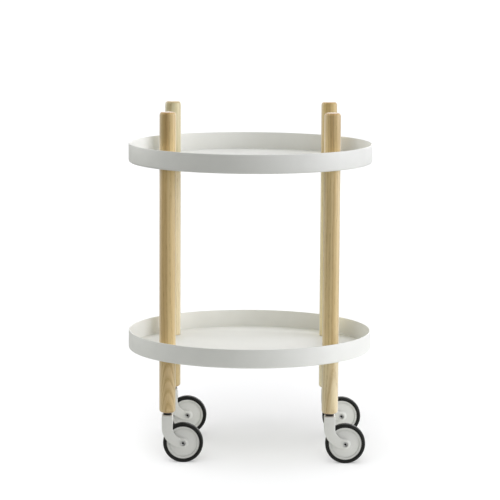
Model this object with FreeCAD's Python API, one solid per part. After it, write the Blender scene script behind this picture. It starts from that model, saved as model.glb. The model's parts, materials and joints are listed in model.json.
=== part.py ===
import FreeCAD, Part
import math
import os

# A round serving trolley: two sheet steel trays clamped between turned ash legs, on four swivel castors.
# Millimetres. Z is up, X runs along the longer leg spacing, and the origin is on the floor at the centre.
# Each leg is three lengths of dowel that double-ended studs pull together through the trays.

os.makedirs("parts", exist_ok=True)

# Trays
tray_diameter = 450.0
tray_height = 34.5
tray_sheet = 2.0
tray_bend_radius = 4.0  # outside of the bend between floor and rim

# Legs
leg_diameter = 30.0
leg_rim_gap = 13.7  # between a leg and the tray's rim
leg_angle = 40.47  # degrees from the X axis to each leg, seen from above
top_leg_length = 99.0
middle_leg_length = 346.0
foot_leg_length = 99.0
leg_end_radius = 5.5  # rounding of the two free ends
leg_edge_radius = 0.8  # broken edge where a length meets a tray

# Studs and threaded inserts
thread_diameter = 8.0
thread_clearance = 0.05
stud_setback = 2.0  # from a thread's end to the far end of its insert
stud_chamfer = 0.8
stud_hole_clearance = 0.4
insert_wall = 2.0
insert_length = 20.0
insert_flange_width = 2.0
insert_flange_thickness = 1.5
insert_fit = 0.05
insert_hole_run_out = 6.0  # free depth of the leg's hole past the insert

# Castor wheel
wheel_diameter = 73.0
tyre_width = 16.0
tyre_thickness = 6.6
tyre_shoulder_radius = 3.8
tyre_foot_setback = 1.2  # how much narrower each side of the tyre is at the rim
tyre_rib_width = 5.0
tyre_rib_depth = 1.6
tyre_fit = 0.05
rim_setback = 2.4  # rim face behind the tyre's side
rim_ring_width = 3.4
rim_ring_rise = 1.1
rim_edge_radius = 0.6
groove_width = 1.2
groove_depth = 0.7
web_dish = 1.4  # how far the web bulges from groove to hub
hub_diameter = 22.0
hub_setback = 1.0  # hub face behind the tyre's side
hub_edge_radius = 0.8

# Wheel bushes and axle
axle_diameter = 5.0
axle_running_fit = 0.05
wheel_bush_wall = 1.5
wheel_bush_length = 5.0
wheel_bush_flange_width = 1.5
wheel_bush_flange_thickness = 0.8
wheel_bush_fit = 0.03
wheel_side_gap = 0.3  # between a bush's flange and the fork
axle_head_diameter = 8.6
axle_head_height = 2.4
axle_hole_clearance = 0.1
hex_socket_width = 3.0
hex_socket_depth = 1.5
axle_nut_width = 8.0
axle_nut_height = 2.7
axle_end_chamfer = 0.5

# Castor fork
castor_trail = 28.7
fork_width = 20.2  # of the crown and of both arms, seen from the side
fork_arm_thickness = 3.2
fork_edge_radius = 1.6
fork_hub_diameter = 18.0
fork_hub_ring_diameter = 14.4
fork_hub_ring_rise = 0.7
fork_spacer_diameter = 16.0
axle_pocket_diameter = 10.4
axle_pocket_floor = 1.5
tyre_side_clearance = 1.3
tyre_clearance = 3.2  # from the tread to the crown
crown_thickness = 11.1

# Swivel
swivel_gap = 0.3
swivel_running_fit = 0.05
swivel_bush_wall = 2.0
swivel_bush_flange_width = 2.0
swivel_bush_flange_thickness = 1.2
swivel_bush_fit = 0.03
stem_head_diameter = 12.8
stem_head_height = 3.0
stem_head_side_gap = 0.8
stem_head_chamfer = 0.6
stem_socket_width = 5.0
stem_socket_depth = 2.0
collar_diameter = 15.4
collar_height = 4.4
collar_edge_radius = 0.5

overrun = 1.0  # how far cutting solids pass the faces that they cut
match = 0.001  # how near an edge lies to a face that it belongs to

# Heights above the floor, from the wheels up
axle_z = wheel_diameter / 2
crown_bottom_z = wheel_diameter + tyre_clearance
crown_top_z = crown_bottom_z + crown_thickness
collar_bottom_z = crown_top_z + swivel_gap
foot_leg_z = collar_bottom_z + collar_height
lower_tray_z = foot_leg_z + foot_leg_length
middle_leg_z = lower_tray_z + tray_sheet
upper_tray_z = middle_leg_z + middle_leg_length
top_leg_z = upper_tray_z + tray_sheet

# The legs stand in a ring just inside the rim
leg_ring_radius = tray_diameter / 2 - tray_sheet - leg_rim_gap - leg_diameter / 2
leg_x = leg_ring_radius * math.cos(math.radians(leg_angle))
leg_y = leg_ring_radius * math.sin(math.radians(leg_angle))
corners = {
    "front_left": (-leg_x, -leg_y),
    "front_right": (leg_x, -leg_y),
    "rear_left": (-leg_x, leg_y),
    "rear_right": (leg_x, leg_y),
}

# Sizes of pieces that fit each other
thread_radius = thread_diameter / 2
insert_radius = thread_radius + insert_wall
insert_flange_radius = insert_radius + insert_flange_width
thread_engagement = insert_length - stud_setback

rim_radius = wheel_diameter / 2 - tyre_thickness
rim_half = tyre_width / 2 - rim_setback
hub_half = tyre_width / 2 - hub_setback
axle_radius = axle_diameter / 2
wheel_bush_radius = axle_radius + axle_running_fit + wheel_bush_wall

arm_inner_y = tyre_width / 2 + tyre_side_clearance
arm_outer_y = arm_inner_y + fork_arm_thickness
spacer_y = hub_half + wheel_bush_flange_thickness + wheel_side_gap
hub_ring_y = arm_outer_y + fork_hub_ring_rise
pocket_floor_y = spacer_y + axle_pocket_floor

swivel_bush_radius = thread_radius + swivel_running_fit + swivel_bush_wall
swivel_bush_flange_radius = swivel_bush_radius + swivel_bush_flange_width
stem_pocket_z = crown_bottom_z + stem_head_height + swivel_gap

z_axis = FreeCAD.Vector(0, 0, 1)
y_axis = FreeCAD.Vector(0, 1, 0)
x_axis = FreeCAD.Vector(1, 0, 0)
origin = FreeCAD.Vector(0, 0, 0)


def at(x, z):
    return FreeCAD.Vector(x, 0, z)


# A closed outline in the XZ plane. Each step is a point, for a straight side,
# or a pair of points, for an arc through the first that ends at the second.
def outline(start, *steps):
    edges = []
    here = start
    for step in steps:
        if isinstance(step, tuple):
            through, there = step
            edges.append(Part.Arc(here, through, there).toShape())
        else:
            there = step
            edges.append(Part.LineSegment(here, there).toShape())
        here = there
    edges.append(Part.LineSegment(here, start).toShape())
    return Part.Wire(edges)


# A quarter round from one point to another about a centre.
def quarter(centre, first, last):
    radius = (first - centre).Length
    towards = (first - centre) + (last - centre)
    towards.normalize()
    return (centre + towards * radius, last)


def turned(wire):
    return Part.Face(wire).revolve(origin, z_axis, math.degrees(math.tau))


# Turned about Z first, then laid along Y through the axle, with its top to the front.
def laid_on_axle(shape):
    shape = shape.copy()
    shape.rotate(origin, x_axis, math.degrees(math.pi / 2))
    shape.translate(at(castor_trail, axle_z))
    return shape


def cylinder(radius, low, high):
    return Part.makeCylinder(radius, high - low, at(0, low), z_axis)


def hexagon(width, low, high):
    radius = width / 2 / math.cos(math.pi / 6)
    points = []
    for turn in range(7):
        angle = turn * math.pi / 3
        points.append(FreeCAD.Vector(radius * math.cos(angle), radius * math.sin(angle), low))
    return Part.Face(Part.makePolygon(points)).extrude(z_axis * (high - low))


def moved(shape, x, y, z):
    shape = shape.copy()
    shape.translate(FreeCAD.Vector(x, y, z))
    return shape


def save(name, *solids):
    shape = solids[0] if len(solids) == 1 else Part.makeCompound(list(solids))
    shape.exportStep(os.path.join("parts", name + ".step"))


# A pressed tray: flat floor, upright rim, a bend between them and a rounded lip.
# Its underside is at zero, with one clearance hole for each stud.
def make_tray():
    outer = tray_diameter / 2
    inner = outer - tray_sheet
    lip = tray_sheet / 2
    bend_x = outer - tray_bend_radius
    bend = at(bend_x, tray_bend_radius)
    lip_z = tray_height - lip
    wire = outline(
        at(0, 0),
        at(bend_x, 0),
        quarter(bend, at(bend_x, 0), at(outer, tray_bend_radius)),
        at(outer, lip_z),
        (at(outer - lip, tray_height), at(inner, lip_z)),
        at(inner, tray_bend_radius),
        quarter(bend, at(inner, tray_bend_radius), at(bend_x, tray_sheet)),
        at(0, tray_sheet),
    )
    tray = turned(wire)
    hole = cylinder(thread_radius + stud_hole_clearance, -overrun, tray_sheet + overrun)
    for x, y in corners.values():
        tray = tray.cut(moved(hole, x, y, 0))
    return tray


# A length of dowel that stands on zero, each end rounded by its own radius,
# with a stepped hole for a threaded insert in each end that holds one.
def make_leg(length, low_radius, high_radius, low_insert, high_insert):
    radius = leg_diameter / 2
    wire = outline(
        at(0, 0),
        at(radius - low_radius, 0),
        quarter(at(radius - low_radius, low_radius), at(radius - low_radius, 0), at(radius, low_radius)),
        at(radius, length - high_radius),
        quarter(
            at(radius - high_radius, length - high_radius),
            at(radius, length - high_radius),
            at(radius - high_radius, length),
        ),
        at(0, length),
    )
    leg = turned(wire)
    hole = insert_hole()
    if low_insert:
        leg = leg.cut(hole)
    if high_insert:
        leg = leg.cut(upside_down(hole, length))
    return leg


# The same shape pointing down from a height, as at the other end of a leg.
def upside_down(shape, height):
    shape = shape.copy()
    shape.rotate(origin, x_axis, math.degrees(math.pi))
    shape.translate(at(0, height))
    return shape


def insert_hole():
    depth = insert_length + insert_hole_run_out
    bore = cylinder(insert_radius + insert_fit, -overrun, depth)
    seat = cylinder(insert_flange_radius + insert_fit, -overrun, insert_flange_thickness)
    return bore.fuse(seat)


# A flanged threaded insert, flush with the end of the dowel at zero.
def make_insert():
    flange = cylinder(insert_flange_radius, 0, insert_flange_thickness)
    body = cylinder(insert_radius, 0, insert_length)
    bore = cylinder(thread_radius + thread_clearance, -overrun, insert_length + overrun)
    return flange.fuse(body).removeSplitter().cut(bore)


# A double-ended stud whose middle lies in a tray's floor.
def make_stud():
    wire = outline(
        at(0, -thread_engagement),
        at(thread_radius - stud_chamfer, -thread_engagement),
        at(thread_radius, stud_chamfer - thread_engagement),
        at(thread_radius, tray_sheet + thread_engagement - stud_chamfer),
        at(thread_radius - stud_chamfer, tray_sheet + thread_engagement),
        at(0, tray_sheet + thread_engagement),
    )
    return turned(wire)


# The castor's stem, fixed in the foot, with a head that carries the fork.
def make_stem():
    head = stem_head_diameter / 2
    head_top = crown_bottom_z + stem_head_height
    tip = foot_leg_z + thread_engagement
    wire = outline(
        at(0, crown_bottom_z),
        at(head - stem_head_chamfer, crown_bottom_z),
        at(head, crown_bottom_z + stem_head_chamfer),
        at(head, head_top),
        at(thread_radius, head_top),
        at(thread_radius, tip - stud_chamfer),
        at(thread_radius - stud_chamfer, tip),
        at(0, tip),
    )
    socket = hexagon(stem_socket_width, crown_bottom_z - overrun, crown_bottom_z + stem_socket_depth)
    return turned(wire).cut(socket)


# The spacing collar between foot and fork.
def make_collar():
    outer = collar_diameter / 2
    inner = thread_radius + thread_clearance
    low = collar_bottom_z
    high = foot_leg_z
    edge = collar_edge_radius
    wire = outline(
        at(inner, low),
        at(outer - edge, low),
        quarter(at(outer - edge, low + edge), at(outer - edge, low), at(outer, low + edge)),
        at(outer, high - edge),
        quarter(at(outer - edge, high - edge), at(outer, high - edge), at(outer - edge, high)),
        at(inner, high),
    )
    return turned(wire)


# The flanged bush that turns with the fork on the stem.
def make_swivel_bush():
    body = cylinder(swivel_bush_radius, stem_pocket_z, crown_top_z)
    flange = cylinder(swivel_bush_flange_radius, crown_top_z - swivel_bush_flange_thickness, crown_top_z)
    bore = cylinder(thread_radius + swivel_running_fit, stem_pocket_z - overrun, crown_top_z + overrun)
    return body.fuse(flange).removeSplitter().cut(bore)


# The side view of the fork: an upright strip that sweeps through a quarter ring into the hub.
# Both sweeps are tangent to the hub's round end.
def fork_outline():
    hub = fork_hub_diameter / 2
    outer_sweep = castor_trail + fork_width / 2
    inner_sweep = castor_trail - fork_width / 2
    axle = at(castor_trail, axle_z)
    outer_centre = at(castor_trail, axle_z - hub + outer_sweep)
    inner_centre = at(castor_trail, axle_z + hub + inner_sweep)
    left = castor_trail - outer_sweep
    right = castor_trail - inner_sweep
    return outline(
        at(left, crown_top_z),
        at(left, outer_centre.z),
        quarter(outer_centre, at(left, outer_centre.z), at(castor_trail, axle_z - hub)),
        (axle + x_axis * hub, at(castor_trail, axle_z + hub)),
        quarter(inner_centre, at(castor_trail, axle_z + hub), at(right, inner_centre.z)),
        at(right, crown_top_z),
    )


# The two edges at the ends of the crown's top run across the fork.
def on_crown_end(edge):
    box = edge.BoundBox
    across = box.XLength < match and box.ZLength < match
    return across and abs(box.ZMin - crown_top_z) < match


# An edge is on the fork's outside when all of it lies on a side face or on the crown's top.
def on_fork_outside(edge):
    box = edge.BoundBox
    on_side = box.YLength < match and abs(abs(box.YMin) - arm_outer_y) < match
    on_top = box.ZLength < match and abs(box.ZMin - crown_top_z) < match
    return on_side or on_top


def make_fork():
    side = Part.Face(fork_outline())
    side.translate(y_axis * -arm_outer_y)
    body = side.extrude(y_axis * (arm_outer_y * 2))
    crown_edges = [edge for edge in body.Edges if on_crown_end(edge)]
    body = body.makeFillet(fork_edge_radius, crown_edges)
    outside_edges = [edge for edge in body.Edges if on_fork_outside(edge)]
    body = body.makeFillet(fork_edge_radius, outside_edges)

    reach = castor_trail + wheel_diameter
    slot = Part.makeBox(reach * 2, arm_inner_y * 2, crown_bottom_z, FreeCAD.Vector(-reach, -arm_inner_y, 0))
    body = body.cut(slot)

    for side_sign in (-1, 1):
        ring = cylinder(fork_hub_ring_diameter / 2, pocket_floor_y, hub_ring_y)
        spacer = cylinder(fork_spacer_diameter / 2, spacer_y, arm_outer_y - fork_edge_radius)
        for piece in (ring, spacer):
            if side_sign < 0:
                piece = upside_down(piece, 0)
            body = body.fuse(laid_on_axle(piece))
    body = body.removeSplitter()

    axle_hole = cylinder(axle_radius + axle_hole_clearance, -hub_ring_y - overrun, hub_ring_y + overrun)
    pocket = cylinder(axle_pocket_diameter / 2, pocket_floor_y, hub_ring_y + overrun)
    body = body.cut(laid_on_axle(axle_hole))
    body = body.cut(laid_on_axle(pocket))
    body = body.cut(laid_on_axle(upside_down(pocket, 0)))

    bush_top = crown_top_z - swivel_bush_flange_thickness
    bore = cylinder(swivel_bush_radius + swivel_bush_fit, crown_bottom_z - overrun, crown_top_z + overrun)
    seat = cylinder(swivel_bush_flange_radius + swivel_bush_fit, bush_top, crown_top_z + overrun)
    head = cylinder(stem_head_diameter / 2 + stem_head_side_gap, crown_bottom_z - overrun, stem_pocket_z)
    return body.cut(bore).cut(seat).cut(head)


# The wheel's section is drawn on its outer half and mirrored, so both faces are alike.
def make_wheel():
    bore = wheel_bush_radius + wheel_bush_fit
    hub = hub_diameter / 2
    ring_inner = rim_radius - rim_ring_width
    groove_inner = ring_inner - groove_width
    ring_foot = rim_half - rim_ring_rise
    web_at_hub = ring_foot + web_dish
    rib_half = tyre_rib_width / 2 + tyre_fit
    rib_radius = rim_radius - tyre_rib_depth - tyre_fit
    rim_edge = rim_edge_radius
    half = turned(
        outline(
            at(bore, 0),
            at(bore, hub_half),
            at(hub - hub_edge_radius, hub_half),
            quarter(
                at(hub - hub_edge_radius, hub_half - hub_edge_radius),
                at(hub - hub_edge_radius, hub_half),
                at(hub, hub_half - hub_edge_radius),
            ),
            at(hub, web_at_hub),
            at(groove_inner, ring_foot),
            at(groove_inner, ring_foot - groove_depth),
            at(ring_inner, ring_foot - groove_depth),
            at(ring_inner, rim_half - rim_edge),
            quarter(
                at(ring_inner + rim_edge, rim_half - rim_edge),
                at(ring_inner, rim_half - rim_edge),
                at(ring_inner + rim_edge, rim_half),
            ),
            at(rim_radius - rim_edge, rim_half),
            quarter(
                at(rim_radius - rim_edge, rim_half - rim_edge),
                at(rim_radius - rim_edge, rim_half),
                at(rim_radius, rim_half - rim_edge),
            ),
            at(rim_radius, rib_half),
            at(rib_radius, rib_half),
            at(rib_radius, 0),
        )
    )
    wheel = half.fuse(upside_down(half, 0)).removeSplitter()
    return laid_on_axle(wheel)


def make_tyre():
    inner = rim_radius + tyre_fit
    rib_radius = rim_radius - tyre_rib_depth
    rib_half = tyre_rib_width / 2
    outer = wheel_diameter / 2
    side = tyre_width / 2
    foot = side - tyre_foot_setback
    shoulder = tyre_shoulder_radius
    half = turned(
        outline(
            at(rib_radius, 0),
            at(rib_radius, rib_half),
            at(inner, rib_half),
            at(inner, foot),
            at(outer - shoulder, side),
            quarter(
                at(outer - shoulder, side - shoulder),
                at(outer - shoulder, side),
                at(outer, side - shoulder),
            ),
            at(outer, 0),
        )
    )
    tyre = half.fuse(upside_down(half, 0)).removeSplitter()
    return laid_on_axle(tyre)


# One flanged bush in each end of the hub.
def make_wheel_bushes():
    face = hub_half
    body = cylinder(wheel_bush_radius, face - wheel_bush_length, face)
    flange = cylinder(
        wheel_bush_radius + wheel_bush_flange_width, face, face + wheel_bush_flange_thickness
    )
    bore = cylinder(axle_radius + axle_running_fit, face - wheel_bush_length - overrun, spacer_y + overrun)
    bush = body.fuse(flange).removeSplitter().cut(bore)
    return [laid_on_axle(bush), laid_on_axle(upside_down(bush, 0))]


# The screw's head is at its top, which faces the front, and the nut is at the rear.
def make_axle_screw():
    head = axle_head_diameter / 2
    low = -pocket_floor_y - axle_nut_height
    seat = pocket_floor_y
    top = seat + axle_head_height
    wire = outline(
        at(0, low),
        at(axle_radius - axle_end_chamfer, low),
        at(axle_radius, low + axle_end_chamfer),
        at(axle_radius, seat),
        at(head, seat),
        at(head, top - axle_end_chamfer),
        at(head - axle_end_chamfer, top),
        at(0, top),
    )
    socket = hexagon(hex_socket_width, top - hex_socket_depth, top + overrun)
    return laid_on_axle(turned(wire).cut(socket))


def make_axle_nut():
    low = -pocket_floor_y - axle_nut_height
    nut = hexagon(axle_nut_width, low, -pocket_floor_y)
    bore = cylinder(axle_radius + thread_clearance, low - overrun, overrun - pocket_floor_y)
    return laid_on_axle(nut.cut(bore))


def build_trays():
    tray = make_tray()
    save("lower_tray", moved(tray, 0, 0, lower_tray_z))
    save("upper_tray", moved(tray, 0, 0, upper_tray_z))


def build_legs():
    foot = make_leg(foot_leg_length, leg_end_radius, leg_edge_radius, True, True)
    middle = make_leg(middle_leg_length, leg_edge_radius, leg_edge_radius, True, True)
    top = make_leg(top_leg_length, leg_edge_radius, leg_end_radius, True, False)
    for corner, (x, y) in corners.items():
        save("leg_foot_" + corner, moved(foot, x, y, foot_leg_z))
        save("leg_middle_" + corner, moved(middle, x, y, middle_leg_z))
        save("leg_top_" + corner, moved(top, x, y, top_leg_z))


# Alike fasteners share a node, as separate solids.
def build_joining_hardware():
    insert = make_insert()
    hanging = upside_down(insert, 0)
    stud = make_stud()
    for tray, tray_z in (("lower", lower_tray_z), ("upper", upper_tray_z)):
        studs = []
        inserts = []
        for x, y in corners.values():
            studs.append(moved(stud, x, y, tray_z))
            inserts.append(moved(hanging, x, y, tray_z))
            inserts.append(moved(insert, x, y, tray_z + tray_sheet))
        save(tray + "_tray_studs", *studs)
        save(tray + "_tray_inserts", *inserts)
    save("castor_inserts", *[moved(insert, x, y, foot_leg_z) for x, y in corners.values()])


def build_castors():
    single = {
        "castor_stem": make_stem(),
        "castor_collar": make_collar(),
        "castor_fork": make_fork(),
        "swivel_bush": make_swivel_bush(),
        "axle_screw": make_axle_screw(),
        "axle_nut": make_axle_nut(),
        "wheel": make_wheel(),
        "tyre": make_tyre(),
    }
    bushes = make_wheel_bushes()
    for corner, (x, y) in corners.items():
        for name, shape in single.items():
            save(name + "_" + corner, moved(shape, x, y, 0))
        save("wheel_bushes_" + corner, *[moved(bush, x, y, 0) for bush in bushes])


build_trays()
build_legs()
build_joining_hardware()
build_castors()
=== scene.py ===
import json
import math

import bmesh
import bpy
from mathutils import Matrix, Vector

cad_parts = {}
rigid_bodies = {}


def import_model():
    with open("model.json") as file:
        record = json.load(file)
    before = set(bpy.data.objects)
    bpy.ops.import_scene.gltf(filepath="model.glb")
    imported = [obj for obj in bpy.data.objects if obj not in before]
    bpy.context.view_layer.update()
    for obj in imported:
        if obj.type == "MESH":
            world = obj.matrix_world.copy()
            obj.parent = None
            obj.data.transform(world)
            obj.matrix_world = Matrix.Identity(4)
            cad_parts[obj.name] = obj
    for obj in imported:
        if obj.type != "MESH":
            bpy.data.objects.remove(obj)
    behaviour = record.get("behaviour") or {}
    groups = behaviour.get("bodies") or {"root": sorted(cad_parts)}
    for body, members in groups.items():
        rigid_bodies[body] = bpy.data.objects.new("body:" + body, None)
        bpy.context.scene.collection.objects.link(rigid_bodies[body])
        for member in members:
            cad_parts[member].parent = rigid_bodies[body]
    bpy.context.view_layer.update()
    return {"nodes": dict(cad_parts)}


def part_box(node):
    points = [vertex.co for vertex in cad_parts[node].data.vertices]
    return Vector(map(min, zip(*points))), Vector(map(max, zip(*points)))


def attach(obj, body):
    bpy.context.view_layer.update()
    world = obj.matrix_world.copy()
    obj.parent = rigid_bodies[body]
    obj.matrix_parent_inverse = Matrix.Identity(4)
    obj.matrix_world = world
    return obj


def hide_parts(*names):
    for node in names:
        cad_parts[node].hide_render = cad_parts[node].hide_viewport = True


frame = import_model()
nodes = frame["nodes"]
corners = ("front_left", "front_right", "rear_left", "rear_right")
close, closer = 1e-5, 1e-6  # metres within which two places count as one
ringReach, bandReach = 3e-5, 1e-4  # the same for the distance from an axle, of edges and of faces
squarely = 0.99  # how much of a face's normal lies along an axis that it faces


# Selecting and copying
def deselectAll():
    if bpy.context.mode != "OBJECT":
        bpy.ops.object.mode_set(mode="OBJECT")
    bpy.ops.object.select_all(action="DESELECT")


def selectOnly(piece):
    deselectAll()
    piece.select_set(True)
    bpy.context.view_layer.objects.active = piece


def editPiece(piece):
    selectOnly(piece)
    bpy.ops.object.mode_set(mode="EDIT")
    bpy.ops.mesh.select_mode(type="FACE")
    bpy.ops.mesh.select_all(action="DESELECT")


def pick(piece, kind, test):
    bpy.ops.mesh.select_mode(type=kind)
    bpy.ops.mesh.select_all(action="DESELECT")
    shape = bmesh.from_edit_mesh(piece.data)
    for part in {"VERT": shape.verts, "EDGE": shape.edges, "FACE": shape.faces}[kind]:
        if test(part):
            part.select_set(True)
    bmesh.update_edit_mesh(piece.data)


def pickFaces(piece, test):
    pick(piece, "FACE", test)


def pickEdges(piece, test):
    pick(piece, "EDGE", test)


def atHeight(z):
    return lambda edge: all(abs(vert.co.z - z) < close for vert in edge.verts)


def centreOf(face):
    return face.calc_center_median()


def pushAlong(x, y, z):
    bpy.ops.mesh.extrude_region_move(TRANSFORM_OT_translate={"value": (x, y, z)})


smoothUnder = math.radians(35)  # edges that turn less are shaded smooth


def finishPiece(piece):
    selectOnly(piece)
    bpy.ops.object.transform_apply(location=True, rotation=True, scale=True)
    bpy.ops.object.shade_smooth_by_angle(angle=smoothUnder)
    return piece


def copyPiece(piece, name, shift):
    selectOnly(piece)
    bpy.ops.object.duplicate()
    twin = bpy.context.active_object
    twin.name = name
    twin.data.name = name
    bpy.ops.transform.translate(value=shift)
    bpy.ops.object.transform_apply(location=True, rotation=True, scale=True)
    return twin


def middleOf(node):
    low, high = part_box(node)
    return (low + high) / 2


# A cylinder to work on, upright or lying along Y, left in edit mode
def startCylinder(name, around, radius, depth, middle, lying=False):
    deselectAll()
    turn = (math.pi / 2, 0, 0) if lying else (0, 0, 0)
    bpy.ops.mesh.primitive_cylinder_add(vertices=around, radius=radius, depth=depth, location=middle, rotation=turn)
    piece = bpy.context.active_object
    piece.name = name
    bpy.ops.object.transform_apply(location=True, rotation=True)
    editPiece(piece)
    return piece


# A rod or block added to a piece, or cut out of it
def combine(piece, tool, how):
    change = piece.modifiers.new(how.lower(), "BOOLEAN")
    change.operation = how
    change.solver = "EXACT"
    change.object = tool
    selectOnly(piece)
    bpy.ops.object.modifier_apply(modifier=change.name)
    selectOnly(tool)
    bpy.ops.object.delete()


def addRod(radius, start, end, around=48, edge=0, edgeSteps=3):
    along = end - start
    deselectAll()
    bpy.ops.mesh.primitive_cylinder_add(
        vertices=around,
        radius=radius,
        depth=along.length,
        location=(start + end) / 2,
        rotation=along.to_track_quat("Z", "Y").to_euler(),
    )
    rod = bpy.context.active_object
    bpy.ops.object.transform_apply(location=True, rotation=True)
    if edge:
        way = along.normalized()
        far = end.dot(way)
        editPiece(rod)
        pickEdges(rod, lambda rim: all(abs(vert.co.dot(way) - far) < closer for vert in rim.verts))
        bpy.ops.mesh.bevel(offset=edge, segments=edgeSteps)
        bpy.ops.object.mode_set(mode="OBJECT")
    return rod


def dress(piece, *materials):
    worn = piece.data.materials
    while len(worn) < len(materials):
        worn.append(None)
    for spot, material in enumerate(materials):
        worn[spot] = material


# Node trees: an input given as a socket is linked, any other is set
def addNode(tree, kind, spot, settings=None, inputs=None):
    node = tree.nodes.new(kind)
    node.location = spot
    for key, value in (settings or {}).items():
        setattr(node, key, value)
    for key, value in (inputs or {}).items():
        if isinstance(value, bpy.types.NodeSocket):
            tree.links.new(value, node.inputs[key])
        else:
            node.inputs[key].default_value = value
    return node


def addMath(tree, spot, operation, *values):
    node = addNode(tree, "ShaderNodeMath", spot, {"operation": operation}, dict(enumerate(values)))
    return node.outputs[0]


def addVectorMath(tree, spot, operation, *values):
    node = addNode(tree, "ShaderNodeVectorMath", spot, {"operation": operation}, dict(enumerate(values)))
    return node.outputs["Value" if operation in ("LENGTH", "DISTANCE", "DOT_PRODUCT") else "Vector"]


def addNoise(tree, spot, vector, scale, detail, roughness):
    inputs = {"Vector": vector, "Scale": scale, "Detail": detail, "Roughness": roughness}
    return addNode(tree, "ShaderNodeTexNoise", spot, None, inputs).outputs


def addRange(tree, spot, value, before, after=(0, 1)):
    keys = ("Value", "From Min", "From Max", "To Min", "To Max")
    inputs = dict(zip(keys, (value, *before, *after)))
    return addNode(tree, "ShaderNodeMapRange", spot, None, inputs).outputs["Result"]


def mixColors(tree, spot, factor, first, second, blend="MIX"):
    settings = {"data_type": "RGBA", "blend_type": blend}
    inputs = {"Factor": factor, "A": first, "B": second}
    return addNode(tree, "ShaderNodeMix", spot, settings, inputs).outputs["Result"]


# Each stop is its place and a grey, or its place and a colour
def addRamp(tree, spot, value, *stops):
    ramp = addNode(tree, "ShaderNodeValToRGB", spot, None, {"Fac": value})
    points = ramp.color_ramp.elements
    while len(points) < len(stops):
        points.new(0.5)
    for point, (place, shade) in zip(points, stops):
        point.position = place
        point.color = (*(shade if isinstance(shade, tuple) else grey(shade)), 1)
    return ramp.outputs["Color"]


def splitVector(tree, spot, vector):
    return addNode(tree, "ShaderNodeSeparateXYZ", spot, None, {0: vector}).outputs


def grey(value):
    return (value, value, value)


def newGroup(name, inputs, outputs):
    group = bpy.data.node_groups.new(name, "ShaderNodeTree")
    for way, sockets in (("INPUT", inputs), ("OUTPUT", outputs)):
        for label, kind in sockets.items():
            group.interface.new_socket(name=label, in_out=way, socket_type="NodeSocket" + kind)
    return group, addNode(group, "NodeGroupInput", (-1400, 0)).outputs


def endGroup(group, results):
    addNode(group, "NodeGroupOutput", (900, 0), None, results)
    return group


def placeGroup(tree, group, spot, inputs):
    return addNode(tree, "ShaderNodeGroup", spot, {"node_tree": group}, inputs).outputs


# Along the log everything is drawn out: rings and bands waver slowly, vessels are long thin tubes
ashStretch = {"rings": (1, 1, 0.16), "vessels": (1, 1, 0.035), "band": (1, 1, 0.22)}


# Growth rings, pores and fibres of ash, read from a place inside the log whose pith is the Z axis
def buildAshFigure():
    group, given = newGroup(
        "ashFigure",
        {"Vector": "Vector", "Ring Gap": "Float", "Waver": "Float", "Pale": "Color", "Tan": "Color", "Pore": "Color"},
        {"Color": "Color", "Early": "Float", "Height": "Float"},
    )
    slow = addVectorMath(group, (-1200, 200), "MULTIPLY", given["Vector"], ashStretch["rings"])
    drift = addNoise(group, (-1020, 260), slow, scale=34, detail=2, roughness=0.45)
    centred = addVectorMath(group, (-840, 260), "SUBTRACT", drift["Color"], grey(0.5))
    inputs = {0: centred, "Scale": given["Waver"]}
    pushed = addNode(group, "ShaderNodeVectorMath", (-680, 260), {"operation": "SCALE"}, inputs)
    warped = addVectorMath(group, (-520, 200), "ADD", given["Vector"], pushed.outputs[0])
    flat = addVectorMath(group, (-360, 200), "MULTIPLY", warped, (1, 1, 0))
    radius = addVectorMath(group, (-200, 200), "LENGTH", flat)
    count = addMath(group, (-40, 200), "DIVIDE", radius, given["Ring Gap"])
    season = addMath(group, (120, 200), "FRACT", count)
    early = addRamp(group, (280, 300), season, (0, 1), (0.2, 0.8), (0.38, 0.1), (0.75, 0.2), (1, 0.7))

    long = addVectorMath(group, (-1200, -200), "MULTIPLY", given["Vector"], ashStretch["vessels"])
    vessel = addNoise(group, (-840, -200), long, scale=2400, detail=1, roughness=0.5)
    opened = addRamp(group, (-660, -200), vessel["Fac"], (0.55, 0), (0.68, 1))
    pores = addMath(group, (460, -120), "MULTIPLY", opened, early)
    fibre = addNoise(group, (-840, -480), long, scale=700, detail=3, roughness=0.6)
    fibreShade = addRamp(group, (-660, -480), fibre["Fac"], (0.3, 0.93), (0.7, 1.05))

    body = mixColors(group, (460, 300), early, given["Pale"], given["Tan"])
    combed = mixColors(group, (620, 200), 1, body, fibreShade, "MULTIPLY")
    pored = mixColors(group, (760, 100), pores, combed, given["Pore"])
    sunk = addMath(group, (620, -200), "SUBTRACT", fibre["Fac"], pores)
    return endGroup(group, {"Color": pored, "Early": early, "Height": sunk})


# One broad darker growth band across a dowel: At is its place to the right of the middle, Half its half width,
# and Slope carries it sideways up the length
def buildGrowthBand():
    group, given = newGroup(
        "growthBand", {"Vector": "Vector", "At": "Float", "Half": "Float", "Slope": "Float"}, {"Mask": "Float"}
    )
    parts = splitVector(group, (-1200, 200), given["Vector"])
    slow = addVectorMath(group, (-1200, -100), "MULTIPLY", given["Vector"], ashStretch["band"])
    waver = addNoise(group, (-1000, -100), slow, scale=70, detail=3, roughness=0.55)
    side = addRange(group, (-800, -100), waver["Fac"], (0, 1), (-0.0045, 0.0045))
    leaned = addMath(group, (-800, 200), "MULTIPLY_ADD", parts["Z"], given["Slope"], given["At"])
    away = addMath(group, (-600, 200), "SUBTRACT", parts["X"], leaned)
    moved = addMath(group, (-420, 200), "ADD", away, side)
    share = addMath(group, (-240, 200), "DIVIDE", moved, given["Half"])
    apart = addMath(group, (-60, 200), "ABSOLUTE", share)
    return endGroup(group, {"Mask": addRamp(group, (120, 200), apart, (0, 1), (0.55, 0.9), (0.85, 0.3), (1, 0))})


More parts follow.
